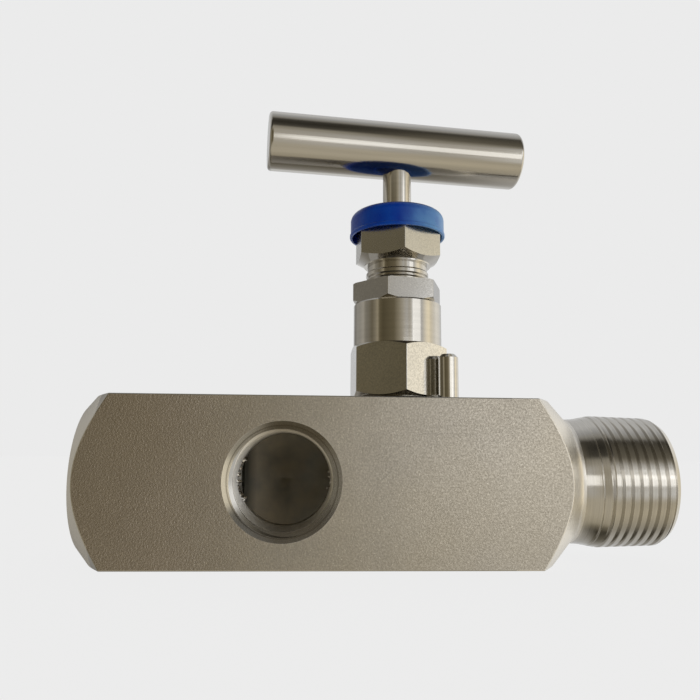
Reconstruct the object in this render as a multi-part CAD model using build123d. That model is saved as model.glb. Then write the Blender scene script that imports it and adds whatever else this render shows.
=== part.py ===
from build123d import *
from math import atan, cos, degrees, radians, sin, tan
import os

# Needle valve with a square-bar body, a tapered male inlet, tapered female
# outlets, a screwed bonnet with adjustable packing and a T-bar on a rising stem.
# Millimetres. The origin is on the body's bottom face, below the stem's axis.
# +X points along the body to the male inlet and +Z points up the stem.

# ---- body bar ----
BAR = 32.0                      # side of the square bar
AXIS_Z = BAR / 2                # height of the body's long axis
LEFT_END = -62.6                # outlet end face
LEFT_APEX = -61.6               # where the left end's cone reaches the bar's flats
LEFT_SLOPE = 1.13               # radius lost per millimetre along the left cone
RIGHT_APEX = 31.5               # where the right end's cone reaches the bar's flats
RIGHT_SLOPE = 1.06
BAR_CORNER = BAR / 2 * 2 ** 0.5
BODY_EDGE = 0.25                # rounding of the bar's edges

# ---- male inlet, 3/4-14 tapered pipe thread ----
PIPE_PITCH = 25.4 / 14          # pitch of both tapered threads
TAPER = 1 / 32                  # radius per millimetre, 1 in 16 on diameter
NECK_R = 12.85
NECK_FILLET = 1.6               # radius between the right cone and the neck
NECK_START = 35.2
NECK_END = 36.9
FLARE_FILLET = 14.0             # eases the neck into the thread's flare
MALE_BASE = 34.65               # the threaded end's own start, inside the neck
MALE_START = 40.9               # first full crest
MALE_END = 54.2                 # inlet end face
MALE_CREST_R = 13.62            # crest radius at the first full crest
MALE_DEPTH = 0.68
END_CHAMFER = 1.5               # length of the chamfer that leads the thread in
END_CHAMFER_RISE = 0.6          # radius lost per millimetre of that chamfer
MALE_START_TURN = 20.0          # where the groove of the male thread starts round the axis

# ---- female outlets, 1/2-14 tapered pipe thread ----
PORT_X = -23.4                  # axis of the outlet in the front face
PORT_R = 9.33                   # tapping drill
PORT_MOUTH_R = 11.16            # countersink at the face
PORT_DEPTH = 18.0               # to the end of the straight wall
DRILL_HALF_ANGLE = 59.0         # drill point at the bottom of each outlet
PORT_THREAD = 15.0              # length of threaded wall
PORT_ROOT_R = 10.3              # thread root radius at the face

# ---- passages in the body ----
END_PASSAGE_R = 4.2             # end outlet to front outlet
SEAT_PASSAGE_R = 1.8            # front outlet to valve chamber
INLET_R = 2.5
INLET_DROP = 8.0                # how far the sloping inlet falls to reach the seat
SEAT_R = 2.4
SEAT_Z = 12.0                   # height where the seat's cone meets the orifice
SEAT_HALF_ANGLE = 30.0
CHAMBER_R = 7.0
CHAMBER_FLOOR = 13.0

# ---- bonnet ----
BONNET_THREAD_R = 9.0
BONNET_PITCH = 1.5
BONNET_THREAD_DEPTH = 0.92
BONNET_BOTTOM = 19.5
GASKET_T = 1.0
BONNET_HEX_AF = 18.96
BONNET_HEX_ANGLE = 32.6         # turn of the hexagon's corners from +X
BONNET_HEX_LOW = 33.9           # lower end of the corner edges
BONNET_HEX_HIGH = 42.97
COLLAR_R = 9.4
COLLAR_EDGE = 0.35              # chamfer at the bonnet's top
BONNET_TOP = 53.0
HEX_CHAMFER = 30.0              # chamfer angle of every hexagon
HEX_EDGE = 0.15                 # rounding of the hexagons' upright edges
GUIDE_R = 4.12                  # bore that guides the spindle
PACKING_R = 6.1                 # packing bore
PACKING_FLOOR = 33.8
PACKING_MOUTH = 46.5            # upper end of the packing bore

# ---- gland adjuster, lock nut and cap ----
GLAND_THREAD_R = 6.75
GLAND_PITCH = 0.75
GLAND_THREAD_DEPTH = 0.46
GLAND_BOTTOM = 45.0
GLAND_THREAD_LOW = 47.2
GLAND_THREAD_TOP = 59.8
GLAND_RELIEF_R = 6.5            # plain neck above the adjuster's thread
GLAND_HEAD_FACE = 61.5
GLAND_BOSS_R = 7.2              # face under the adjuster's hexagon
GLAND_HEX_AF = 17.0
GLAND_HEX_ANGLE = 32.4
GLAND_HEX_LOW = 63.3
GLAND_TOP = 71.6
GLAND_CHAMFER = 1.1             # radius the corners lose at the top
NUT_HEX_AF = 17.2
NUT_HEX_ANGLE = 11.5
NUT_TOP = 57.3
NUT_LOW_CHAMFER = 0.95          # radius the corners lose at each face
NUT_HIGH_CHAMFER = 0.35
CAP_R = 10.2
CAP_BEAD_R = 10.38
CAP_LOW = 68.0
CAP_TOP = 73.4
CAP_EDGE = 1.8
CAP_BOSS_R = 4.2
CAP_BOSS_TOP = 75.2
CAP_BOSS_EDGE = 0.5
CAP_BORE_R = 3.2

# ---- spindle, tip and packing ----
STEM_R = 3.12                   # bright stem above the gland
SHANK_R = 4.0                   # polished shank through the packing
SPINDLE_PITCH = 1.0
SPINDLE_THREAD_R = 3.97
SPINDLE_THREAD_DEPTH = 0.61
SPINDLE_THREAD_LOW = 47.0
SPINDLE_THREAD_HIGH = 59.5
GLAND_BORE_R = 4.05             # crests of the adjuster's inner thread
GLAND_BORE_TOP = 64.0
HEAD_R = 5.0                    # swaged head that holds the tip
HEAD_LOW = 17.5
HEAD_HIGH = 20.5
OPEN_AT_REST = 1.5              # height of the tip above the closed position
LIFT_FROM_REST = 3.5            # further lift until the head meets the back seat
TIP_R = 3.2
TIP_END_R = 0.6
BALL_R = 1.25
RING_COUNT = 3
PACKING_WASHER_T = 1.4

# ---- handle ----
BAR_Z = 88.29
BAR_R = 6.28
BAR_LEFT = 28.7
BAR_RIGHT = 27.9
BAR_ANGLE = 6.68
BAR_EDGE = 0.8                  # rounding of the T-bar's ends
STEM_TOP = 91.3
SCREW_R = 2.0
SCREW_SOCKET_AF = 2.0
SCREW_SOCKET_DEPTH = 1.5

# ---- lock pin ----
PIN_R = 2.05
PIN_ANGLE = -39.3               # direction of the pin from the stem's axis
PIN_GAP = 0.03                  # between the pin and the bonnet's flat
PIN_LOW = 26.0
PIN_TOP = 41.4
PIN_CHAMFER = 0.7

FIT = 0.03                      # radial gap in fixed threads and sockets
ROOT_FLAT = 0.06                # half width of the flat at a thread's root
CUTTER_BACK = 0.5               # how far a thread cutter stands clear of the crests


def turned(points):
    """Solid of revolution about Z from (radius, height) points."""
    outline = Polyline([(r, 0, z) for r, z in points], close=True)
    return revolve(make_face(outline), Axis.Z, 360)


def turned_along_x(points):
    """Solid of revolution about the body's long axis from (x, radius) points."""
    outline = Polyline([(x, 0, r) for x, r in points], close=True)
    return Pos(0, 0, AXIS_Z) * revolve(make_face(outline), Axis.X, 360)


def ring_thread(radius, depth, pitch, low, high):
    """(radius, height) points of a threaded wall, from low to high."""
    half = ROOT_FLAT + depth * tan(radians(30))
    points = [(radius, low)]
    groove = low + pitch / 2
    while groove + half < high:
        points.append((radius, groove - half))
        points.append((radius - depth, groove - ROOT_FLAT))
        points.append((radius - depth, groove + ROOT_FLAT))
        points.append((radius, groove + half))
        groove += pitch
    points.append((radius, high))
    return points


def circles_at(solid, radius):
    """Round edges of the given radius."""
    circles = solid.edges().filter_by(GeomType.CIRCLE)
    return circles.filter_by(lambda e: abs(e.radius - radius) < 0.001)


def hex_prism(across_flats, low, high, corner_angle, edge=HEX_EDGE):
    """Hexagonal prism about Z with one corner turned corner_angle from +X."""
    radius = across_flats / 2 / cos(radians(30))
    corners = []
    for k in range(6):
        a = radians(corner_angle + 60 * k)
        corners.append((radius * cos(a), radius * sin(a), low))
    prism = extrude(make_face(Polyline(corners, close=True)), high - low, dir=(0, 0, 1))
    if edge:
        prism = fillet(prism.edges().filter_by(Axis.Z), edge)
    return prism


def thread_cutter(radius, length, depth, taper, outward):
    """Helical V cutter about Z from z = 0. It points outward for a hole and inward for a shaft.

    Its back lies CUTTER_BACK clear of the thread's crests, at the given starting radius.
    """
    path = Helix(PIPE_PITCH, length, radius, cone_angle=degrees(atan(taper)))
    reach = depth + CUTTER_BACK
    wide = ROOT_FLAT + reach * tan(radians(30))
    side = reach if outward else -reach
    tip = [(0, -wide), (0, wide), (side, ROOT_FLAT), (side, -ROOT_FLAT)]
    plane = Plane(origin=path @ 0, x_dir=(1, 0, 0), z_dir=path % 0)
    shape = plane * make_face(Polyline(tip, close=True))
    return sweep(shape, path=path, is_frenet=True)


def port_cutter():
    """Threaded outlet along Z: the mouth is at z = 0 and the hole goes down."""
    chamfer = PORT_MOUTH_R - PORT_R
    over = 1.0
    outline = [
        (0, over),
        (PORT_MOUTH_R + over, over),
        (PORT_R, -chamfer),
        (PORT_R, -PORT_DEPTH),
        (0, -PORT_DEPTH - PORT_R / tan(radians(DRILL_HALF_ANGLE))),
    ]
    bore = turned(outline)
    depth = PORT_ROOT_R - PORT_R
    start_r = PORT_R - PORT_THREAD * TAPER - CUTTER_BACK
    thread = thread_cutter(start_r, PORT_THREAD + 1, depth, TAPER, True)
    return bore + Pos(0, 0, -PORT_THREAD) * thread


def male_end():
    """Tapered male thread, with its crests rising from the neck."""
    end_r = MALE_CREST_R - (MALE_END - MALE_START) * TAPER
    base_r = MALE_CREST_R + (MALE_START - MALE_BASE) * TAPER
    past = MALE_END + 3
    cone = turned_along_x(
        [
            (MALE_BASE, 0),
            (MALE_BASE, base_r),
            (past, MALE_CREST_R - (past - MALE_START) * TAPER),
            (past, 0),
        ]
    )
    start = MALE_BASE + 0.8
    start_r = MALE_CREST_R + (MALE_START - start) * TAPER + CUTTER_BACK
    cutter = thread_cutter(start_r, MALE_END + 1.2 - start, MALE_DEPTH, -TAPER, False)
    cone -= Pos(start, 0, AXIS_Z) * Rot(0, 90, 0) * Rot(0, 0, MALE_START_TURN) * cutter
    blank = turned_along_x(
        [
            (MALE_BASE, 0),
            (MALE_BASE, NECK_R),
            (NECK_END, NECK_R),
            (MALE_START, MALE_CREST_R),
            (MALE_END - END_CHAMFER, end_r + END_CHAMFER * TAPER),
            (MALE_END, end_r - END_CHAMFER * END_CHAMFER_RISE),
            (MALE_END, 0),
        ]
    )
    flare = circles_at(blank, NECK_R)
    return cone & fillet(flare.sort_by(Axis.X)[-1:], FLARE_FILLET)


def make_body():
    body = bar_with_cones() + male_end()
    body -= Pos(PORT_X, -BAR / 2, AXIS_Z) * Rot(90, 0, 0) * port_cutter()
    body -= Pos(LEFT_END, 0, AXIS_Z) * Rot(0, -90, 0) * port_cutter()
    body -= passages()
    body -= bonnet_socket()
    body -= pin_hole()
    return body


def bar_with_cones():
    """Square bar turned to a cone at each end, with its edges rounded."""
    left_r = BAR / 2 + (LEFT_END - LEFT_APEX) * LEFT_SLOPE
    left_x = LEFT_APEX + (BAR_CORNER - BAR / 2) / LEFT_SLOPE
    right_x = RIGHT_APEX - (BAR_CORNER - BAR / 2) / RIGHT_SLOPE
    neck_x = RIGHT_APEX + (BAR / 2 - NECK_R) / RIGHT_SLOPE
    lathe = [
        (LEFT_END, 0),
        (LEFT_END, left_r),
        (left_x, BAR_CORNER),
        (right_x, BAR_CORNER),
        (neck_x, NECK_R),
        (NECK_START, NECK_R),
        (NECK_START, 0),
    ]
    length = NECK_START - LEFT_END
    bar = Pos((NECK_START + LEFT_END) / 2, 0, AXIS_Z) * Box(length, BAR, BAR)
    blank = bar & turned_along_x(lathe)
    flats = blank.edges().filter_by(lambda e: e.geom_type == GeomType.HYPERBOLA or e.length > BAR * 2)
    flats = flats.filter_by(lambda e: e.geom_type != GeomType.CIRCLE)
    blank = fillet(flats, BODY_EDGE)
    corner = blank.edges().filter_by(GeomType.CIRCLE).filter_by(lambda e: abs(e.center().X - neck_x) < 0.01)
    return fillet(corner, NECK_FILLET)


def passages():
    """Drillings that join the outlets, the chamber and the inlet."""
    left = LEFT_END + PORT_DEPTH - 1
    right = PORT_X - PORT_R + 0.8
    end_passage = Pos((left + right) / 2, 0, AXIS_Z) * Rot(0, 90, 0) * Cylinder(END_PASSAGE_R, right - left)
    seat_passage = Pos(PORT_X / 2, 0, AXIS_Z) * Rot(0, 90, 0) * Cylinder(SEAT_PASSAGE_R, -PORT_X)
    slope = atan(INLET_DROP / MALE_END)
    run = MALE_END / cos(slope) + 2 * INLET_R
    middle = run / 2 - INLET_R
    inlet = Pos(middle * cos(slope), 0, AXIS_Z - INLET_DROP + middle * sin(slope))
    inlet = inlet * Rot(0, 90 - degrees(slope), 0) * Cylinder(INLET_R, run)
    mouth = Pos(MALE_END - 0.5, 0, AXIS_Z) * Rot(0, 90, 0) * Cone(INLET_R + 0.6, INLET_R + 1.6, 1.0)
    return end_passage + seat_passage + inlet + mouth


def bonnet_socket():
    """Chamber, seat and threaded socket under the bonnet."""
    seat_top = SEAT_R + (CHAMBER_FLOOR - SEAT_Z) * tan(radians(SEAT_HALF_ANGLE))
    ledge = BONNET_BOTTOM - GASKET_T
    wall = ring_thread(BONNET_THREAD_R + FIT, BONNET_THREAD_DEPTH, BONNET_PITCH, BONNET_BOTTOM + 0.5, BAR - 0.5)
    outline = [
        (0, AXIS_Z - INLET_DROP),
        (SEAT_R, AXIS_Z - INLET_DROP),
        (SEAT_R, SEAT_Z),
        (seat_top, CHAMBER_FLOOR),
        (CHAMBER_R, CHAMBER_FLOOR),
        (CHAMBER_R, ledge),
        (BONNET_THREAD_R + FIT, ledge),
    ]
    outline += wall
    outline += [(BONNET_THREAD_R + 0.5, BAR + 0.1), (0, BAR + 0.1)]
    return turned(outline)


def pin_centre():
    flat_angle = radians(BONNET_HEX_ANGLE - 90)
    reach = (BONNET_HEX_AF / 2 + PIN_R + PIN_GAP) / cos(radians(PIN_ANGLE) - flat_angle)
    return reach * cos(radians(PIN_ANGLE)), reach * sin(radians(PIN_ANGLE))


def pin_hole():
    x, y = pin_centre()
    depth = BAR - PIN_LOW
    return Pos(x, y, BAR - depth / 2 + 0.5) * Cylinder(PIN_R + 0.01, depth + 1)


def make_lock_pin():
    x, y = pin_centre()
    outline = [
        (0, PIN_LOW),
        (PIN_R - 0.3, PIN_LOW),
        (PIN_R, PIN_LOW + 0.3),
        (PIN_R, PIN_TOP - PIN_CHAMFER),
        (PIN_R - PIN_CHAMFER, PIN_TOP),
        (0, PIN_TOP),
    ]
    return Pos(x, y, 0) * turned(outline)


def make_bonnet():
    corner = BONNET_HEX_AF / 2 / cos(radians(30))
    rise = tan(radians(HEX_CHAMFER))
    collar_low = BONNET_HEX_HIGH + (corner - COLLAR_R) * rise
    undercut_r = BONNET_THREAD_R - 0.35
    thread = ring_thread(BONNET_THREAD_R, BONNET_THREAD_DEPTH, BONNET_PITCH, BONNET_BOTTOM + 0.5, BAR - 0.5)
    outer = [(BONNET_THREAD_R - 0.5, BONNET_BOTTOM)]
    outer += thread
    outer += [
        (undercut_r, BAR),
        (undercut_r, BONNET_HEX_LOW - (corner - undercut_r) * rise),
        (corner + 0.1, BONNET_HEX_LOW + 0.1 * rise),
        (corner + 0.1, BONNET_HEX_HIGH - 0.1 * rise),
        (COLLAR_R, collar_low),
        (COLLAR_R, BONNET_TOP - COLLAR_EDGE),
        (COLLAR_R - COLLAR_EDGE, BONNET_TOP),
    ]
    shoulder = HEAD_HIGH + LIFT_FROM_REST
    cavity_r = HEAD_R + 0.6
    seat_low = shoulder - (cavity_r - HEAD_R - FIT)
    seat_high = shoulder + (HEAD_R + FIT - GUIDE_R)
    wall = ring_thread(
        GLAND_THREAD_R + FIT, GLAND_THREAD_DEPTH, GLAND_PITCH, GLAND_THREAD_LOW, BONNET_TOP
    )
    inner = list(reversed(wall))
    inner += [
        (PACKING_R, PACKING_MOUTH),
        (PACKING_R, PACKING_FLOOR),
        (GUIDE_R, PACKING_FLOOR),
        (GUIDE_R, seat_high),
        (cavity_r, seat_low),
        (cavity_r, BONNET_BOTTOM),
    ]
    blank = turned(outer + inner)
    hexagon = hex_prism(BONNET_HEX_AF, BAR, collar_low, BONNET_HEX_ANGLE)
    lower = Pos(0, 0, (BONNET_BOTTOM + BAR) / 2) * Cylinder(corner + 1, BAR - BONNET_BOTTOM)
    upper = Pos(0, 0, (collar_low + BONNET_TOP) / 2) * Cylinder(corner + 1, BONNET_TOP - collar_low)
    return blank & (hexagon + lower + upper)


def make_bonnet_gasket():
    low = BONNET_BOTTOM - GASKET_T
    outline = [
        (CHAMBER_R, low),
        (BONNET_THREAD_R - 0.1, low),
        (BONNET_THREAD_R - 0.1, BONNET_BOTTOM),
        (CHAMBER_R, BONNET_BOTTOM),
    ]
    return turned(outline)


def packing_piece(low, high):
    """Ring that fills the packing bore round the spindle's shank."""
    inner = SHANK_R + 0.04
    outer = PACKING_R - 0.02
    edge = 0.15
    outline = [
        (inner, low),
        (outer - edge, low),
        (outer, low + edge),
        (outer, high - edge),
        (outer - edge, high),
        (inner, high),
    ]
    return turned(outline)


def packing_stack():
    """Names and solids of the washers and rings, from the bottom up."""
    first = PACKING_FLOOR + PACKING_WASHER_T
    last = GLAND_BOTTOM - PACKING_WASHER_T
    ring = (last - first) / RING_COUNT
    pieces = {"lower_packing_washer": packing_piece(PACKING_FLOOR, first)}
    for k, name in enumerate(("lower", "middle", "upper")):
        pieces["packing_ring_" + name] = packing_piece(first + k * ring, first + (k + 1) * ring)
    pieces["upper_packing_washer"] = packing_piece(last, GLAND_BOTTOM)
    return pieces


def make_gland_adjuster():
    corner = GLAND_HEX_AF / 2 / cos(radians(30))
    rise = tan(radians(HEX_CHAMFER))
    thread = ring_thread(
        GLAND_THREAD_R, GLAND_THREAD_DEPTH, GLAND_PITCH, GLAND_THREAD_LOW, GLAND_THREAD_TOP
    )
    nose_r = PACKING_R - 0.05
    outer = [(nose_r, GLAND_BOTTOM), (nose_r, GLAND_BOTTOM + 1.6)]
    outer += thread
    outer += [
        (GLAND_RELIEF_R, GLAND_THREAD_TOP + 0.35),
        (GLAND_RELIEF_R, GLAND_HEAD_FACE),
        (GLAND_BOSS_R, GLAND_HEAD_FACE),
        (GLAND_BOSS_R, GLAND_HEX_LOW - (corner - GLAND_BOSS_R) * rise),
        (corner + 0.1, GLAND_HEX_LOW + 0.1 * rise),
        (corner + 0.1, GLAND_TOP - (GLAND_CHAMFER + 0.1) * rise),
        (corner - GLAND_CHAMFER, GLAND_TOP),
    ]
    inner = [
        (STEM_R + 0.07, GLAND_TOP),
        (STEM_R + 0.07, GLAND_BORE_TOP),
        (GLAND_BORE_R, GLAND_BORE_TOP),
        (GLAND_BORE_R, GLAND_BOTTOM),
    ]
    blank = turned(outer + inner)
    hexagon = hex_prism(GLAND_HEX_AF, GLAND_HEAD_FACE, GLAND_TOP, GLAND_HEX_ANGLE)
    lower = Pos(0, 0, (GLAND_BOTTOM + GLAND_HEAD_FACE) / 2) * Cylinder(corner + 1, GLAND_HEAD_FACE - GLAND_BOTTOM)
    return blank & (hexagon + lower)


def make_lock_nut():
    corner = NUT_HEX_AF / 2 / cos(radians(30))
    rise = tan(radians(HEX_CHAMFER))
    wall = ring_thread(GLAND_THREAD_R + FIT, GLAND_THREAD_DEPTH, GLAND_PITCH, GLAND_THREAD_LOW, NUT_TOP)
    inside = [(r, z) for r, z in wall if z > BONNET_TOP + 0.2]
    low_circle = corner - NUT_LOW_CHAMFER
    high_circle = corner - NUT_HIGH_CHAMFER
    outline = [
        (low_circle, BONNET_TOP),
        (corner + 0.1, BONNET_TOP + (corner + 0.1 - low_circle) * rise),
        (corner + 0.1, NUT_TOP - (corner + 0.1 - high_circle) * rise),
        (high_circle, NUT_TOP),
    ]
    outline += list(reversed(inside))
    outline += [(GLAND_THREAD_R + FIT, BONNET_TOP)]
    return turned(outline) & hex_prism(NUT_HEX_AF, BONNET_TOP, NUT_TOP, NUT_HEX_ANGLE)


def make_dust_cap():
    skirt_r = GLAND_HEX_AF / 2 / cos(radians(30)) + 0.05
    roof = GLAND_TOP + 0.15
    outline = [
        (skirt_r, CAP_LOW),
        (CAP_BEAD_R - 0.1, CAP_LOW),
        (CAP_BEAD_R, CAP_LOW + 0.15),
        (CAP_BEAD_R, CAP_LOW + 0.6),
        (CAP_R, CAP_LOW + 0.85),
        (CAP_R, CAP_TOP),
        (CAP_BOSS_R, CAP_TOP),
        (CAP_BOSS_R, CAP_BOSS_TOP),
        (CAP_BORE_R, CAP_BOSS_TOP),
        (CAP_BORE_R, roof),
        (skirt_r, roof),
    ]
    cap = turned(outline)
    cap = fillet(circles_at(cap, CAP_R).sort_by(Axis.Z)[-1:], CAP_EDGE)
    return fillet(circles_at(cap, CAP_BOSS_R).sort_by(Axis.Z)[-1:], CAP_BOSS_EDGE)


def make_spindle():
    thread = ring_thread(
        SPINDLE_THREAD_R, SPINDLE_THREAD_DEPTH, SPINDLE_PITCH, SPINDLE_THREAD_LOW, SPINDLE_THREAD_HIGH
    )
    lip_r = TIP_R - 0.4
    outline = [
        (lip_r, HEAD_LOW),
        (HEAD_R - 0.7, HEAD_LOW),
        (HEAD_R, HEAD_LOW + 0.7),
        (HEAD_R, HEAD_HIGH),
        (SHANK_R, HEAD_HIGH + HEAD_R - SHANK_R),
        (SHANK_R, SPINDLE_THREAD_LOW - 0.3),
    ]
    outline += thread
    outline += [
        (STEM_R, SPINDLE_THREAD_HIGH + 0.5),
        (STEM_R, STEM_TOP - 0.4),
        (STEM_R - 0.4, STEM_TOP),
        (0, STEM_TOP),
        (0, HEAD_LOW + 5.8),
        (BALL_R + 0.05, HEAD_LOW + 5.1),
        (BALL_R + 0.05, HEAD_LOW + 2.6),
        (TIP_R + 0.05, HEAD_LOW + 2.6),
        (TIP_R + 0.05, HEAD_LOW + 0.8),
        (lip_r, HEAD_LOW + 0.8),
    ]
    return turned(outline)


def make_needle_tip():
    rise = tan(radians(SEAT_HALF_ANGLE))
    contact_z = SEAT_Z + OPEN_AT_REST
    gap = FIT / cos(radians(SEAT_HALF_ANGLE))
    end_z = contact_z - (SEAT_R - gap - TIP_END_R) / rise
    full_z = contact_z + (TIP_R - SEAT_R + gap) / rise
    neck_r = TIP_R - 0.45
    outline = [
        (0, end_z - 0.15),
        (TIP_END_R - 0.2, end_z - 0.15),
        (TIP_END_R, end_z),
        (TIP_R, full_z),
        (TIP_R, HEAD_LOW - 0.3),
        (neck_r, HEAD_LOW - 0.1),
        (neck_r, HEAD_LOW + 0.9),
        (TIP_R, HEAD_LOW + 0.9),
        (TIP_R, HEAD_LOW + 2.5),
        (0, HEAD_LOW + 2.5),
    ]
    return turned(outline)


def make_thrust_ball():
    return Pos(0, 0, HEAD_LOW + 2.51 + BALL_R) * Sphere(BALL_R)


def make_t_bar():
    length = BAR_LEFT + BAR_RIGHT
    bar = Pos((BAR_RIGHT - BAR_LEFT) / 2, 0, 0) * Rot(0, 90, 0) * Cylinder(BAR_R, length)
    bar = fillet(bar.edges().filter_by(GeomType.CIRCLE), BAR_EDGE)
    depth = STEM_TOP - BAR_Z + BAR_R + 0.2
    bar -= Pos(0, 0, depth / 2 - BAR_R) * Cylinder(STEM_R + 0.02, depth)
    bar -= Pos(0, BAR_R / 2, 0) * Rot(90, 0, 0) * Cylinder(SCREW_R + 0.02, BAR_R + 1)
    return Pos(0, 0, BAR_Z) * Rot(0, 0, BAR_ANGLE) * bar


def make_handle_screw():
    near = STEM_R + 0.01
    far = BAR_R - 0.35
    screw = Cylinder(SCREW_R, far - near)
    screw = chamfer(screw.edges().filter_by(GeomType.CIRCLE), 0.25)
    socket = hex_prism(SCREW_SOCKET_AF, 0, SCREW_SOCKET_DEPTH + 0.5, 0, edge=0)
    screw = screw - Pos(0, 0, (far - near) / 2 - SCREW_SOCKET_DEPTH) * socket
    screw = Rot(-90, 0, 0) * screw
    return Pos(0, 0, BAR_Z) * Rot(0, 0, BAR_ANGLE) * Pos(0, (near + far) / 2, 0) * screw


def main():
    os.makedirs("parts", exist_ok=True)
    pieces = {
        "body": make_body(),
        "bonnet": make_bonnet(),
        "bonnet_gasket": make_bonnet_gasket(),
        "lock_pin": make_lock_pin(),
        "gland_adjuster": make_gland_adjuster(),
        "lock_nut": make_lock_nut(),
        "dust_cap": make_dust_cap(),
        "spindle": make_spindle(),
        "needle_tip": make_needle_tip(),
        "thrust_ball": make_thrust_ball(),
        "t_bar": make_t_bar(),
        "handle_screw": make_handle_screw(),
    }
    pieces.update(packing_stack())
    for name, solid in pieces.items():
        export_step(solid, "parts/" + name + ".step")


main()
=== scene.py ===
import math
from random import Random
import bmesh
import bpy
from mathutils import Matrix, Vector


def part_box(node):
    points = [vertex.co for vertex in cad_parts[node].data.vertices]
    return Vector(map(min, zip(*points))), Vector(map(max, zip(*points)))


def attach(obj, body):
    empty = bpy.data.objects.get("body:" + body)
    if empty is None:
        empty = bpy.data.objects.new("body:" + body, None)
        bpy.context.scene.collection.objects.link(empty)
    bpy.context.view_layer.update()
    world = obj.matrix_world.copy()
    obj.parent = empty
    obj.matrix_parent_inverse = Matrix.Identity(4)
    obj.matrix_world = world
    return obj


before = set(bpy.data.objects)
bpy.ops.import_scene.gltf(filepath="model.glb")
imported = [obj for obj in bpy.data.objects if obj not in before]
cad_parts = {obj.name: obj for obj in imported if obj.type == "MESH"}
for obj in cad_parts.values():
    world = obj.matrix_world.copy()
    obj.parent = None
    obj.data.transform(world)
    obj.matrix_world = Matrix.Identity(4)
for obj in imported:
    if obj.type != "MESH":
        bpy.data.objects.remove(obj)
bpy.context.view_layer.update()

scene = bpy.context.scene
MM = 0.001

# Places on the valve, in metres, in the frame that the CAD nodes share.
BAR_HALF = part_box("body")[1][1]             # half the square bar's side
AXIS_Z = BAR_HALF                           # height of the body's long axis
HANDLE_TURN = math.radians(6.68)            # the T-bar's turn about the stem
PORT_X = -23.4 * MM                         # axis of the outlet in the front face
PORT_R = 9.33 * MM                          # bore of both outlets
PORT_MOUTH_R = 11.16 * MM                   # countersink at the face
PORT_LINE_R = 10.35 * MM                    # dark turned line in the countersink
PORT_WALL_Y = -BAR_HALF + 2 * MM            # just behind the front outlet's countersink
PORT_FLOOR_Y = 2.0 * MM                     # where the front outlet's drill point starts
PORT_BACK_Y = BAR_HALF / 2                  # behind that drill point
END_FLOOR_X = -44.6 * MM                    # where the left end outlet's drill point starts
END_BACK_X = END_FLOOR_X + 6 * MM           # behind that drill point
LEFT_CONE_X = -58 * MM                      # the left cone's outer part lies left of this
RIGHT_CONE_X = (20 * MM, 35.2 * MM)         # the right cone lies between these
BONNET_FLATS_R = 9.45 * MM                  # just inside each hexagon's flats
ADJUSTER_FLATS_R = 8.45 * MM
NUT_FLATS_R = 8.5 * MM
SLACK = 0.05 * MM                           # keeps a mask's limit off the face it follows

# The grain on the flats is deepest left of the first place and shallowest right of the second.
GRAIN_X = (-42 * MM, -22 * MM)

# Each of these looks, all painted shade or painted sheen, starts at the first place and is full
# from the second.
LEFT_SHADE_X = (-24 * MM, -44 * MM)
PORT_SHADE_HEIGHT = (3 * MM, 8 * MM)               # painted shade, above and below the outlet's axis
PORT_SHADE_X = (PORT_X - 7 * MM, PORT_X - 1 * MM)
# painted shade on the outlets' floors
FLOOR_SHADE_RIGHT_X = (PORT_X - 4 * MM, PORT_X + 8 * MM)
FLOOR_SHADE_LEFT_X = (PORT_X - 6 * MM, PORT_X - 8 * MM)
# painted sheen at the blue cap's right
PAINTED_SHEEN_X = (-1 * MM, 6 * MM)


# ---------------------------------------------------------------- node helpers

class Tree:
    """A node tree, with short calls for the nodes used here."""

    def __init__(self, tree):
        self.tree = tree

    def add(self, kind, **settings):
        node = self.tree.nodes.new(kind)
        for key, value in settings.items():
            setattr(node, key, value)
        return node

    def link(self, value, socket):
        """Feeds a socket from another socket, or sets it to a plain value."""
        if isinstance(value, bpy.types.NodeSocket):
            self.tree.links.new(value, socket)
        else:
            socket.default_value = value

    def math(self, operation, a, b=0.0):
        node = self.add("ShaderNodeMath", operation=operation)
        for value, socket in zip((a, b), node.inputs):
            self.link(value, socket)
        return node.outputs[0]

    def axes(self, vector):
        node = self.add("ShaderNodeSeparateXYZ")
        self.link(vector, node.inputs[0])
        return node.outputs

    def mix(self, factor, a, b):
        """Colour between a and b."""
        node = self.add("ShaderNodeMix", data_type="RGBA")
        colour_inputs = [socket for socket in node.inputs if socket.type == "RGBA"]
        self.link(factor, node.inputs["Factor"])
        for value, socket in zip((a, b), colour_inputs):
            linked = isinstance(value, bpy.types.NodeSocket)
            self.link(value if linked else (*value, 1.0), socket)
        return [socket for socket in node.outputs if socket.type == "RGBA"][0]


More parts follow.
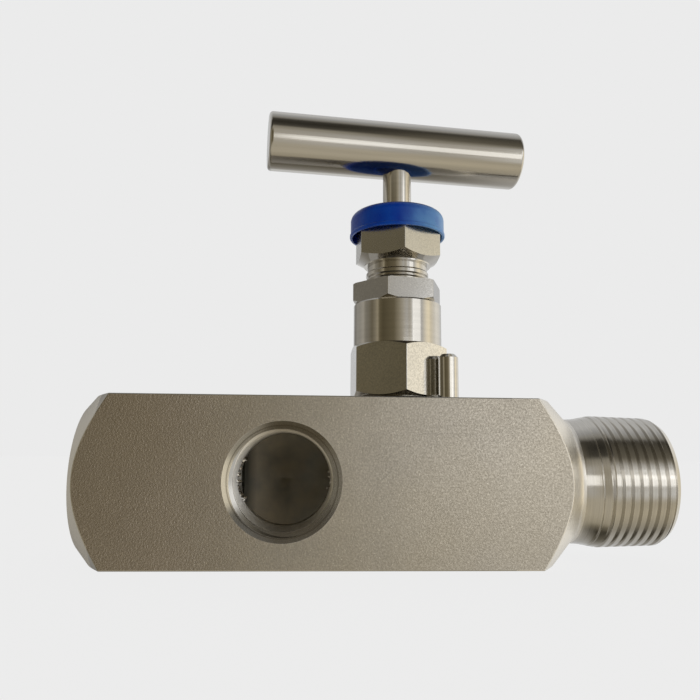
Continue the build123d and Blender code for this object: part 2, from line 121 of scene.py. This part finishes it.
class Nodes(Tree):
    """A material's node tree, around its Principled shader."""

    def __init__(self, name):
        self.material = bpy.data.materials.new(name)
        self.material.use_nodes = True
        super().__init__(self.material.node_tree)
        self.shader = self.tree.nodes["Principled BSDF"]
        self.place = self.add("ShaderNodeTexCoord").outputs["Object"]

    def moved(self, scale, turn=(0, 0, 0)):
        """Object coordinates turned, then stretched by scale."""
        turned = self.add("ShaderNodeMapping", vector_type="POINT")
        self.link(self.place, turned.inputs["Vector"])
        turned.inputs["Rotation"].default_value = turn
        scaled = self.add("ShaderNodeVectorMath", operation="MULTIPLY")
        self.link(turned.outputs[0], scaled.inputs[0])
        scaled.inputs[1].default_value = scale
        return scaled.outputs[0]

    def noise(self, scale, detail, vector=None):
        """Noise from about 0 to 1, with scale in features per metre."""
        node = self.add("ShaderNodeTexNoise")
        self.link(vector or self.place, node.inputs["Vector"])
        node.inputs["Scale"].default_value = scale
        node.inputs["Detail"].default_value = detail
        return node.outputs["Fac"]

    def lines(self, stretch, detail=2.0, turn=(0, 0, 0)):
        """Noise stretched into lines, with features per metre along each axis."""
        return self.noise(1.0, detail, self.moved(stretch, turn))

    def spread(self, value, low, high, out_low, out_high):
        """Maps low to out_low and high to out_high, and holds there beyond them."""
        node = self.add("ShaderNodeMapRange")
        for item, socket in zip((value, low, high, out_low, out_high), node.inputs):
            self.link(item, socket)
        return node.outputs[0]

    def blend(self, factor, a, b):
        """Number between a and b."""
        node = self.add("ShaderNodeMix", data_type="FLOAT")
        self.link(factor, node.inputs["Factor"])
        self.link(a, node.inputs["A"])
        self.link(b, node.inputs["B"])
        return node.outputs["Result"]

    def bump(self, height, distance, strength, normal=None):
        node = self.add("ShaderNodeBump")
        self.link(height, node.inputs["Height"])
        self.link(strength, node.inputs["Strength"])
        node.inputs["Distance"].default_value = distance
        if normal:
            self.link(normal, node.inputs["Normal"])
        return node.outputs["Normal"]

    def finish(self, colour, roughness, normal, metallic=1.0):
        self.link(colour, self.shader.inputs["Base Color"])
        self.link(roughness, self.shader.inputs["Roughness"])
        self.shader.inputs["Metallic"].default_value = metallic
        self.link(normal, self.shader.inputs["Normal"])
        return self.material


def distance(n, a, b):
    """Length of the pair (a, b)."""
    return n.math("SQRT", n.math("ADD", n.math("MULTIPLY", a, a), n.math("MULTIPLY", b, b)))


def all_of(n, *masks):
    """1 where every mask is 1."""
    product = masks[0]
    for mask in masks[1:]:
        product = n.math("MULTIPLY", product, mask)
    return product


def between(n, value, low, high):
    """1 where value lies between low and high."""
    return all_of(n, n.math("GREATER_THAN", value, low), n.math("LESS_THAN", value, high))


def surface_normal(n):
    """The surface's direction, as three numbers along the object's axes."""
    return n.axes(n.add("ShaderNodeTexCoord").outputs["Normal"])


COARSE_GRAIN = 2500                         # grains per metre
FINE_GRAIN = 5600
EDGE_PATCHES = 900                          # patches of worn, painted-highlit edge per metre


def grain(n):
    """Bead-blasted grain: height from 0 to 1."""
    coarse = n.noise(COARSE_GRAIN, 2.0)
    fine = n.noise(FINE_GRAIN, 2.0)
    return n.math("ADD", n.math("MULTIPLY", coarse, 0.5), n.math("MULTIPLY", fine, 0.5))


# Worn edges and painted edge highlights: callers lighten the colour along this mask.
def edge_wear_and_highlight(n, reach):
    """Up to 1 along sharp edges, broken up by noise, and 0 elsewhere."""
    rounded = n.add("ShaderNodeBevel", samples=6)
    rounded.inputs["Radius"].default_value = reach
    true_normal = n.add("ShaderNodeNewGeometry").outputs["Normal"]
    turn = n.add("ShaderNodeVectorMath", operation="DOT_PRODUCT")
    n.link(rounded.outputs[0], turn.inputs[0])
    n.link(true_normal, turn.inputs[1])
    edge = n.spread(turn.outputs["Value"], 0.995, 0.93, 0.0, 1.0)
    patches = n.spread(n.noise(EDGE_PATCHES, 3.0), 0.35, 0.6, 0.35, 1.0)
    return n.math("MULTIPLY", edge, patches)


# ------------------------------------------------------------------- materials

STEEL = (0.62, 0.60, 0.56)
BRIGHT = (0.74, 0.72, 0.68)                 # worn edges, partly painted edge highlights
PORT_STEEL = (0.61, 0.60, 0.575)            # inside the front outlet
BODY_STEEL = (0.53, 0.50, 0.452)            # the bar's blasted flats
LEFT_SHADE_BROWN = (0.46, 0.34, 0.25)                  # painted shade: a darker, browner tint at the bar's left
PAINTED_GLINT = (0.92, 0.88, 0.77)                  # painted glints: bright specks on the blasted flats
DARK_LINE = (0.12, 0.10, 0.07)
# painted shade in the front outlet
PORT_SHADE_COLOUR = (0.20, 0.16, 0.095)
BLUE_DARK = (0.001, 0.035, 0.52)
BLUE = (0.002, 0.080, 0.66)
BLUE_SCUFF = (0.02, 0.16, 0.70)
BLUE_PAINTED_SHEEN = (0.17, 0.42, 0.84)             # pale painted sheen at the cap's right
# painted shade on the cap's top
BLUE_PAINTED_TOP_SHADE = (0.003, 0.018, 0.16)
BLUE_WORN_AND_HIGHLIT = (0.02, 0.20, 0.70)


def tinted(colour, amount):
    """The colour, lighter or darker by a factor."""
    return tuple(amount * c for c in colour)


def blasted_coat(n, colour, low_rough, high_rough, contrast):
    """Colour, roughness and height of a bead-blasted surface."""
    speck = grain(n)
    cloud = n.noise(140, 4.0)
    stain = n.noise(30, 3.0)
    painted_glint = n.noise(3600, 1.0)
    clouded = n.spread(cloud, 0.35, 0.65, 0, 1)
    shade = n.mix(clouded, tinted(colour, 0.94), tinted(colour, 1.03))
    yellow = (0.98 * colour[0], 0.95 * colour[1], 0.87 * colour[2])
    shade = n.mix(n.spread(stain, 0.4, 0.7, 0, 0.8), shade, yellow)
    shade = n.mix(n.spread(speck, 0.53, 0.38, 0, 0.32 * contrast), shade, tinted(colour, 0.55))
    shade = n.mix(n.spread(speck, 0.48, 0.64, 0, 0.32 * contrast), shade, tinted(colour, 1.45))
    # Painted glints: near-white specks mixed into the colour.
    shade = n.mix(n.spread(painted_glint, 0.62, 0.76, 0, 0.5 * contrast), shade, PAINTED_GLINT)
    rough = n.spread(speck, 0.35, 0.65, high_rough, low_rough)
    return shade, rough, speck


def blasted_body():
    """Blasted flats, with turned ends, thread and ports, on one node."""
    n = Nodes("blasted_body")
    x, y, z = n.axes(n.place)
    height = n.math("SUBTRACT", z, AXIS_Z)
    reach = n.math("MAXIMUM", n.math("ABSOLUTE", y), n.math("ABSOLUTE", height))
    _, normal_y, normal_z = surface_normal(n)
    square = n.math("MAXIMUM", n.math("ABSOLUTE", normal_y), n.math("ABSOLUTE", normal_z))
    flat = all_of(
        n,
        n.math("GREATER_THAN", reach, BAR_HALF - SLACK),
        n.math("GREATER_THAN", square, 0.998),
    )
    blasted_colour, blasted_rough, speck = blasted_coat(n, BODY_STEEL, 0.29, 0.42, 0.9)
    # Painted shade: the blasted flats turn darker and browner towards the bar's left.
    left_shade = n.spread(x, *LEFT_SHADE_X, 0, 0.25)
    blasted_colour = n.mix(left_shade, blasted_colour, LEFT_SHADE_BROWN)

    from_port_axis = distance(n, n.math("SUBTRACT", x, PORT_X), height)
    from_long_axis = distance(n, y, height)
    in_port = all_of(
        n,
        n.math("LESS_THAN", from_port_axis, PORT_MOUTH_R + SLACK),
        between(n, y, -BAR_HALF, PORT_BACK_Y),
    )
    port_floor = all_of(
        n,
        n.math("LESS_THAN", from_port_axis, PORT_R),
        between(n, y, PORT_FLOOR_Y - SLACK, PORT_BACK_Y),
    )
    end_floor = all_of(
        n,
        n.math("LESS_THAN", from_long_axis, PORT_R),
        between(n, x, END_FLOOR_X - SLACK, END_BACK_X),
    )
    drilled = n.math("MAXIMUM", port_floor, end_floor)
    wall = all_of(n, in_port, n.math("GREATER_THAN", y, PORT_WALL_Y))
    left_cone = n.math("LESS_THAN", x, LEFT_CONE_X)
    ends = n.math("MAXIMUM", left_cone, between(n, x, *RIGHT_CONE_X))
    # Painted shade: the front outlet darker and browner above and below its axis, from just left
    # of the axis rightwards.
    port_shade = all_of(
        n,
        in_port,
        n.spread(n.math("ABSOLUTE", height), *PORT_SHADE_HEIGHT, 0, 1),
        n.spread(x, *PORT_SHADE_X, 0, 1),
    )
    off_line = n.math("ABSOLUTE", n.math("SUBTRACT", from_port_axis, PORT_LINE_R))
    ring = n.math("MULTIPLY", in_port, n.spread(off_line, 0.05 * MM, 0.16 * MM, 1.0, 0.0))

    along = n.lines((9000, 60, 60))
    inward = n.lines((60, 7000, 60))
    turning = n.blend(in_port, along, inward)
    broad = n.lines((1400, 1100, 40))
    ridged = n.spread(turning, 0.3, 0.7, 0, 1)
    turned_colour = n.mix(ridged, tinted(STEEL, 0.92), tinted(STEEL, 1.06))
    turned_rough = n.blend(in_port, n.spread(broad, 0.3, 0.7, 0.09, 0.17), 0.24)
    stain = n.noise(210, 4.0)
    # Drill points' floors in both outlets: stained steel, darkened as painted shade.
    floor_stain_and_shade = n.mix(n.spread(stain, 0.35, 0.7, 0, 1), (0.30, 0.285, 0.25), (0.50, 0.44, 0.34))
    turned_colour = n.mix(in_port, turned_colour, PORT_STEEL)
    turned_colour = n.mix(n.math("MULTIPLY", ring, 0.55), turned_colour, DARK_LINE)
    # Painted light: the end cones are made lighter than their steel.
    turned_colour = n.mix(n.math("MULTIPLY", ends, 0.8), turned_colour, tinted(STEEL, 1.5))
    # Painted light: the front outlet's wall behind the countersink is made half again as bright
    # as its steel.
    turned_colour = n.mix(wall, turned_colour, tinted(PORT_STEEL, 1.5))
    # Painted shade in the front outlet.
    turned_colour = n.mix(n.math("MULTIPLY", port_shade, 0.68), turned_colour, PORT_SHADE_COLOUR)
    # More painted shade: the floors darker towards the right and at the far left.
    painted_shade_right = n.spread(x, *FLOOR_SHADE_RIGHT_X, 0, 0.6)
    painted_shade_left = n.spread(x, *FLOOR_SHADE_LEFT_X, 0, 0.9)
    floor_stain_and_shade = n.mix(painted_shade_right, floor_stain_and_shade, (0.12, 0.12, 0.10))
    floor_stain_and_shade = n.mix(painted_shade_left, floor_stain_and_shade, (0.06, 0.06, 0.05))
    turned_colour = n.mix(drilled, turned_colour, floor_stain_and_shade)
    turned_rough = n.blend(ends, turned_rough, n.spread(speck, 0.35, 0.65, 0.42, 0.30))
    turned_rough = n.blend(wall, turned_rough, n.spread(broad, 0.3, 0.7, 0.40, 0.50))
    turned_rough = n.blend(drilled, turned_rough, n.spread(stain, 0.3, 0.7, 0.45, 0.62))

    worn_and_highlit = edge_wear_and_highlight(n, 0.35 * MM)
    worn_and_highlit = n.math("MULTIPLY", worn_and_highlit, n.math("SUBTRACT", 1.0, drilled))
    colour = n.mix(flat, turned_colour, blasted_colour)
    # Edges lighter: wear and painted edge highlights.
    colour = n.mix(n.math("MULTIPLY", worn_and_highlit, 0.7), colour, BRIGHT)
    rough = n.blend(flat, turned_rough, blasted_rough)
    rough = n.blend(n.math("MULTIPLY", worn_and_highlit, 0.6), rough, 0.2)
    turned_normal = n.bump(turning, 0.004 * MM, n.math("SUBTRACT", 1.0, flat))
    depth = n.spread(x, *GRAIN_X, 0.6, 0.2)
    normal = n.bump(speck, 0.16 * MM, n.math("MULTIPLY", flat, depth), turned_normal)
    return n.finish(colour, rough, normal)


def turned_steel(
    name,
    flats_beyond=None,
    polish=0.10,
    colour=STEEL,
    coat=STEEL,
    dullness=0.2,
    contrast=0.3,
):
    """Steel turned about the stem's axis.

    Upright faces beyond the radius flats_beyond are hexagon flats. They get the blasted coat,
    with its own colour, roughness (dullness) and contrast.
    """
    n = Nodes(name)
    turning = n.lines((40, 40, 9000))
    rings = n.lines((40, 40, 1500))
    shade = n.mix(n.spread(rings, 0.3, 0.7, 0, 1), tinted(colour, 0.93), colour)
    rough = n.spread(turning, 0.3, 0.7, polish - 0.04, polish + 0.04)
    normal = n.bump(turning, 0.002 * MM, 0.5)
    if flats_beyond:
        x, y, _ = n.axes(n.place)
        facing_up = n.math("ABSOLUTE", surface_normal(n)[2])
        flat = all_of(
            n,
            n.math("LESS_THAN", facing_up, 0.1),
            n.math("GREATER_THAN", distance(n, x, y), flats_beyond),
        )
        coated, dull, speck = blasted_coat(n, coat, dullness, dullness + 0.1, contrast)
        shade = n.mix(flat, shade, coated)
        rough = n.blend(flat, rough, dull)
        normal = n.bump(speck, 0.02 * MM, n.math("MULTIPLY", flat, 0.2 * contrast), normal)
    worn_and_highlit = edge_wear_and_highlight(n, 0.22 * MM)
    # Edges lighter: wear and painted edge highlights.
    shade = n.mix(n.math("MULTIPLY", worn_and_highlit, 0.7), shade, BRIGHT)
    rough = n.blend(n.math("MULTIPLY", worn_and_highlit, 0.5), rough, 0.16)
    return n.finish(shade, rough, normal)


def brushed_bar():
    """Steel bar brushed lengthwise."""
    n = Nodes("brushed_bar")
    turn = (0, 0, -HANDLE_TURN)
    streaks = n.lines((50, 5200, 5200), 3.0, turn)
    broad = n.lines((30, 900, 900), turn=turn)
    banded = n.spread(broad, 0.3, 0.7, 0, 1)
    colour = n.mix(banded, tinted(STEEL, 0.93), tinted(STEEL, 1.05))
    worn_and_highlit = edge_wear_and_highlight(n, 0.4 * MM)
    # Edges lighter: wear and painted edge highlights.
    colour = n.mix(n.math("MULTIPLY", worn_and_highlit, 0.5), colour, BRIGHT)
    rough = n.spread(streaks, 0.3, 0.7, 0.10, 0.19)
    normal = n.bump(streaks, 0.008 * MM, 0.7)
    return n.finish(colour, rough, normal)


def blue_plastic():
    """Blue plastic, scuffed, with painted sheen at the right and painted shade on top."""
    n = Nodes("blue_plastic")
    cloud = n.noise(260, 3.0)
    fine = n.noise(3500, 2.0)
    scuff = n.lines((700, 700, 3000))
    x = n.axes(n.place)[0]
    colour = n.mix(n.spread(cloud, 0.3, 0.7, 0, 1), BLUE_DARK, BLUE)
    colour = n.mix(n.spread(scuff, 0.62, 0.74, 0, 0.3), colour, BLUE_SCUFF)
    # Painted sheen: a pale blue haze in the colour towards the cap's right.
    rightward = n.spread(x, *PAINTED_SHEEN_X, 0, 0.9)
    painted_sheen = n.math("MULTIPLY", rightward, n.spread(cloud, 0.3, 0.6, 0.6, 1))
    # Painted shade: the cap's upward faces made dark navy.
    painted_top_shade = n.spread(surface_normal(n)[2], 0.6, 0.95, 0, 0.85)
    colour = n.mix(painted_sheen, colour, BLUE_PAINTED_SHEEN)
    colour = n.mix(painted_top_shade, colour, BLUE_PAINTED_TOP_SHADE)
    worn_and_highlit = edge_wear_and_highlight(n, 0.25 * MM)
    # Edges paler blue: wear and painted edge highlights.
    colour = n.mix(n.math("MULTIPLY", worn_and_highlit, 0.3), colour, BLUE_WORN_AND_HIGHLIT)
    rough = n.spread(fine, 0.3, 0.7, 0.26, 0.38)
    n.shader.inputs["Specular Tint"].default_value = (0.45, 0.8, 1.0, 1.0)
    return n.finish(colour, rough, n.bump(fine, 0.01 * MM, 0.5), metallic=0.0)


def graphite():
    """Dark flaky packing."""
    n = Nodes("graphite")
    flake = n.noise(4200, 3.0)
    colour = n.mix(flake, (0.03, 0.03, 0.032), (0.09, 0.09, 0.095))
    rough = n.spread(flake, 0.3, 0.7, 0.35, 0.6)
    return n.finish(colour, rough, n.bump(flake, 0.02 * MM, 0.6), metallic=0.2)


def dark_screw():
    """Blackened steel, paler along its edges."""
    n = Nodes("dark_screw")
    flake = n.noise(3000, 3.0)
    colour = n.mix(flake, (0.05, 0.05, 0.055), (0.13, 0.13, 0.135))
    worn_and_highlit = edge_wear_and_highlight(n, 0.15 * MM)
    # Edges paler: wear and painted edge highlights.
    colour = n.mix(n.math("MULTIPLY", worn_and_highlit, 0.6), colour, (0.3, 0.3, 0.3))
    rough = n.spread(flake, 0.3, 0.7, 0.3, 0.45)
    return n.finish(colour, rough, n.bump(flake, 0.01 * MM, 0.5))


def dress():
    """Puts a material on every node."""
    bright = turned_steel("polished_steel", polish=0.08, colour=tinted(STEEL, 1.08))
    ring = turned_steel("ring_steel", polish=0.2)
    looks = {
        "body": blasted_body(),
        "bonnet": turned_steel(
            "bonnet_steel",
            BONNET_FLATS_R,
            # a coat lighter than the steel: painted light on the bonnet's flats
            coat=(0.70, 0.70, 0.70),
            dullness=0.07,
            contrast=1.0,
        ),
        "gland_adjuster": turned_steel(
            "adjuster_steel",
            ADJUSTER_FLATS_R,
            coat=(0.57, 0.565, 0.54),
        ),
        "lock_nut": turned_steel(
            "nut_steel",
            NUT_FLATS_R,
            # a coat darker than the steel: painted shade on the nut's flats
            coat=(0.49, 0.48, 0.46),
            dullness=0.08,
            contrast=0.5,
        ),
        "t_bar": brushed_bar(),
        "dust_cap": blue_plastic(),
        "handle_screw": dark_screw(),
        "spindle": bright,
        "needle_tip": bright,
        "thrust_ball": bright,
        "lock_pin": bright,
        "bonnet_gasket": ring,
        "lower_packing_washer": ring,
        "upper_packing_washer": ring,
    }
    packing = graphite()
    for place in ("lower", "middle", "upper"):
        looks["packing_ring_" + place] = packing
    for node, material in looks.items():
        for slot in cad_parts[node].material_slots:
            slot.material = material


# ------------------------------------------------------------------- burrs

BURR_SIZE = 0.48 * MM                       # radius before stretching
BURR_ROOT = 0.45 * MM                       # depth of a burr's middle behind the thread's crests
BURR_STRETCH = ((1.8, 2.5), (0.7, 1.5), (0.8, 1.5))
PASSAGE_R = 4.2 * MM                        # passage from the front outlet to the end outlet
SEAT_PASSAGE_R = 1.8 * MM                   # passage from the front outlet to the seat


def burr_places():
    """Middles of the chips, in the front outlet's wall at the rims of its two passages."""
    places = []
    for radius, side, angles in (
        (PASSAGE_R, -1, (74, 64, 50, 31, 12, -7, -24, -40, -52, -63, -73)),
        (SEAT_PASSAGE_R, 1, (-70, -20, 15, 60)),
    ):
        for angle in angles:
            up = radius * math.sin(math.radians(angle))
            forward = radius * math.cos(math.radians(angle))
            out = math.sqrt(PORT_R ** 2 - up ** 2) + BURR_ROOT
            places.append(Vector((PORT_X + side * out, -forward, AXIS_Z + up)))
    return places


def burrs():
    """Torn chips left on the passages' rims by the drill."""
    random = Random(5)
    mesh = bmesh.new()
    for place in burr_places():
        size = BURR_SIZE * random.uniform(0.8, 1.3)
        made = bmesh.ops.create_icosphere(mesh, subdivisions=2, radius=size)
        stretch = Vector([random.uniform(*limits) for limits in BURR_STRETCH])
        for vertex in made["verts"]:
            torn = random.uniform(0.85, 1.15)
            vertex.co = place + Vector(a * b for a, b in zip(vertex.co * torn, stretch))
    data = bpy.data.meshes.new("passage_burrs")
    mesh.to_mesh(data)
    mesh.free()
    chips = bpy.data.objects.new("passage_burrs", data)
    scene.collection.objects.link(chips)
    data.materials.append(turned_steel("torn_steel", polish=0.22, colour=tinted(BRIGHT, 1.25)))
    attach(chips, "valve_body")


# ------------------------------------------------------------ studio and camera

PALE = (0.831, 0.831, 0.831)                # the plain background
FLOOR_GLOW = 1.05                           # makes the floor as pale as the background
FLOOR_HALF = 6.0                            # half the floor's side, in metres
FLOOR_DROP = 0.02 * MM                      # keeps the floor just below the valve
LIT_SHARE = 0.06                            # share of the floor that is lit paper, the rest glows
TO_RIGHT = (0.20, 0.36)                     # direction's x where OVER turns into OVER_RIGHT
TO_OVER = (0.30, 0.55)                      # direction's height where AROUND turns into those
CAMERA_PLACE = (-18.71 * MM, -146.66 * MM, 20.67 * MM)
CAMERA_YAW = -0.05817                       # radians, as are the next two
CAMERA_PITCH = 0.15197
CAMERA_ROLL = 0.0081
LENS = 35.746                               # mm, on a sensor 36 mm wide


def grey(v, warm=0.0):
    """Grey of brightness v, with more red and less blue as warm grows."""
    return (v * (1 + warm), v, v * (1 - 2 * warm))


# Room's colour round the stem, by degrees to the right of the front.
AROUND = [
    (-180, grey(0.75)),
    (-162, grey(0.45)),
    (-151, grey(0.20, 0.05)),
    (-138, grey(0.35, 0.04)),
    (-121, grey(0.36, 0.05)),
    (-107, grey(0.44, 0.06)),
    (-99, grey(0.28, 0.08)),
    (-94, grey(0.24, 0.08)),
    (-87, grey(0.22, 0.10)),
    (-76, grey(0.15, 0.15)),
    (-66, grey(0.25, 0.13)),
    (-59, grey(0.36, 0.14)),
    (-54, grey(0.13, 0.20)),
    (-44, grey(0.09, 0.21)),
    (-15, grey(0.14, 0.19)),
    (-2, grey(0.30, 0.13)),
    (8, grey(0.45, 0.08)),
    (18, grey(0.54, 0.03)),
    (24, grey(0.45, 0.07)),
    (29, grey(0.56, 0.05)),
    (32, grey(0.84, 0.01)),
    (38, grey(0.66, 0.01)),
    (60, grey(0.62, 0.02)),
    (74, grey(0.98, 0.10)),
    (82, grey(1.05, 0.12)),
    (90, grey(0.82, 0.10)),
    (104, grey(0.85, 0.05)),
    (114, grey(1.00, 0.04)),
    (128, grey(0.90, 0.03)),
    (152, grey(0.60)),
    (180, grey(0.75)),
]

# Room's colour over the long axis, by degrees up from the front.
OVER = [
    (-180, grey(0.65)),
    (-150, grey(0.40, 0.03)),
    (-138, grey(0.26, 0.06)),
    (-115, grey(0.12, 0.12)),
    (-95, grey(0.05, 0.14)),
    (-84, grey(0.16, 0.14)),
    (-75, grey(0.38, 0.12)),
    (-60, grey(0.47, 0.11)),
    (-30, grey(0.48, 0.10)),
    (0, grey(0.46, 0.07)),
    (20, grey(0.42, 0.08)),
    (37, grey(0.30, 0.09)),
    (44, grey(0.06, 0.10)),
    (60, grey(0.03, 0.10)),
    (75, grey(0.05, 0.10)),
    (84, grey(0.30, 0.05)),
    (96, grey(0.42)),
    (112, grey(0.62)),
    (145, grey(0.60)),
    (180, grey(0.65)),
]

# The same towards the right, where the room is paler underneath.
OVER_RIGHT = [
    (-180, grey(0.65)),
    (-150, grey(0.55)),
    (-132, grey(0.53, 0.02)),
    (-112, grey(0.50, 0.04)),
    (-91, grey(0.35, 0.08)),
    (-75, grey(0.42, 0.11)),
    (-57, grey(0.50, 0.12)),
    (-30, grey(0.45, 0.11)),
    (0, grey(0.44, 0.08)),
    (20, grey(0.27, 0.10)),
    (36, grey(0.24, 0.10)),
    (43, grey(0.13, 0.12)),
    (60, grey(0.09, 0.12)),
    (77, grey(0.06, 0.10)),
    (85, grey(0.32, 0.04)),
    (96, grey(0.44)),
    (112, grey(0.60)),
    (145, grey(0.58)),
    (180, grey(0.65)),
]


def bearing(n, a, b):
    """Angle of (a, b) as 0 to 1, where 0.5 is straight to the front."""
    return n.math("ADD", n.math("DIVIDE", n.math("ARCTAN2", a, b), 2 * math.pi), 0.5)


def direction_ramp(n, value, stops):
    """Colour by direction, from stops in degrees."""
    node = n.add("ShaderNodeValToRGB")
    ramp = node.color_ramp
    while len(ramp.elements) < len(stops):
        ramp.elements.new(1.0)
    for element, (degrees, colour) in zip(ramp.elements, stops):
        element.position = (degrees + 180) / 360
        element.color = (*colour, 1.0)
    n.link(value, node.inputs["Fac"])
    return node.outputs["Color"]


def step(n, value, low, high):
    """Smooth step from 0 at low to 1 at high."""
    node = n.add("ShaderNodeMapRange", interpolation_type="SMOOTHSTEP")
    for item, socket in zip((value, low, high), node.inputs):
        n.link(item, socket)
    return node.outputs[0]


def studio_world():
    """Pale room with a darker side towards the camera, which the bare metal mirrors."""
    world = bpy.data.worlds.new("studio")
    scene.world = world
    world.use_nodes = True
    world.node_tree.nodes.clear()
    n = Tree(world.node_tree)
    x, y, z = n.axes(n.add("ShaderNodeTexCoord").outputs["Generated"])
    front = n.math("MULTIPLY", y, -1.0)
    round_stem = direction_ramp(n, bearing(n, x, front), AROUND)
    upward = bearing(n, z, front)
    over_bar = direction_ramp(n, upward, OVER)
    over_right = direction_ramp(n, upward, OVER_RIGHT)
    over = n.mix(step(n, x, *TO_RIGHT), over_bar, over_right)
    room = n.mix(step(n, n.math("ABSOLUTE", z), *TO_OVER), round_stem, over)
    seen = n.mix(n.add("ShaderNodeLightPath").outputs["Is Camera Ray"], room, PALE)
    back = n.add("ShaderNodeBackground")
    n.link(seen, back.inputs["Color"])
    n.link(back.outputs[0], n.add("ShaderNodeOutputWorld").inputs[0])


def softbox(name, place, size, radiance):
    """Rectangular lamp that faces the stem's axis, with place and size in millimetres."""
    place = Vector(place) * MM
    width, height = (side * MM for side in size)
    light = bpy.data.lights.new(name, "AREA")
    light.shape = "RECTANGLE"
    light.size = width
    light.size_y = height
    light.energy = radiance * math.pi * width * height
    lamp = bpy.data.objects.new(name, light)
    lamp.location = place
    aim = Vector((place.x, place.y, 0))
    lamp.rotation_euler = aim.to_track_quat("Z", "Y").to_euler()
    scene.collection.objects.link(lamp)


def mix_shaders(n, factor, a, b):
    """Shader a where factor is 0 and shader b where it is 1."""
    node = n.add("ShaderNodeMixShader")
    for value, socket in zip((factor, a.outputs[0], b.outputs[0]), node.inputs):
        n.link(value, socket)
    return node


def floor():
    """Pale floor that only the camera sees: every other ray passes through it."""
    mesh = bpy.data.meshes.new("floor")
    signs = ((-1, -1), (1, -1), (1, 1), (-1, 1))
    corners = [(FLOOR_HALF * a, FLOOR_HALF * b, 0) for a, b in signs]
    mesh.from_pydata(corners, [], [(0, 1, 2, 3)])
    plane = bpy.data.objects.new("floor", mesh)
    plane.location.z = -FLOOR_DROP
    scene.collection.objects.link(plane)
    material = bpy.data.materials.new("floor")
    material.use_nodes = True
    material.node_tree.nodes.clear()
    n = Tree(material.node_tree)
    glow = n.add("ShaderNodeEmission")
    glow.inputs["Color"].default_value = (*PALE, 1)
    glow.inputs["Strength"].default_value = FLOOR_GLOW
    paper = n.add("ShaderNodeBsdfDiffuse")
    paper.inputs["Color"].default_value = (0.8, 0.8, 0.8, 1)
    seen = mix_shaders(n, LIT_SHARE, glow, paper)
    clear = n.add("ShaderNodeBsdfTransparent")
    by_camera = n.add("ShaderNodeLightPath").outputs["Is Camera Ray"]
    choice = mix_shaders(n, by_camera, clear, seen)
    n.link(choice.outputs[0], n.add("ShaderNodeOutputMaterial").inputs[0])
    mesh.materials.append(material)


def camera():
    """Looks a little up at the valve's front, from left of the stem."""
    forward = Vector((
        -math.sin(CAMERA_YAW) * math.cos(CAMERA_PITCH),
        math.cos(CAMERA_YAW) * math.cos(CAMERA_PITCH),
        math.sin(CAMERA_PITCH),
    ))
    right = Vector((math.cos(CAMERA_YAW), math.sin(CAMERA_YAW), 0))
    up = right.cross(forward)
    level = Matrix((right, up, -forward)).transposed()
    tilt = Matrix.Rotation(CAMERA_ROLL, 3, "Z")
    data = bpy.data.cameras.new("camera")
    data.sensor_width = 36.0
    data.lens = LENS
    data.clip_start = 0.005
    view = bpy.data.objects.new("camera", data)
    view.matrix_world = Matrix.Translation(CAMERA_PLACE) @ (level @ tilt).to_4x4()
    scene.collection.objects.link(view)
    scene.camera = view


def build():
    """The looks, the chips, the studio and the camera."""
    scene.view_settings.view_transform = "Standard"
    dress()
    burrs()
    studio_world()
    softbox("window", place=(590, -611, 185), size=(330, 210), radiance=0.66)
    softbox("upper window", place=(641, -558, 365), size=(240, 150), radiance=0.75)
    softbox("strip", place=(400, -1000, 57), size=(520, 316), radiance=0.8)
    floor()
    camera()


build()
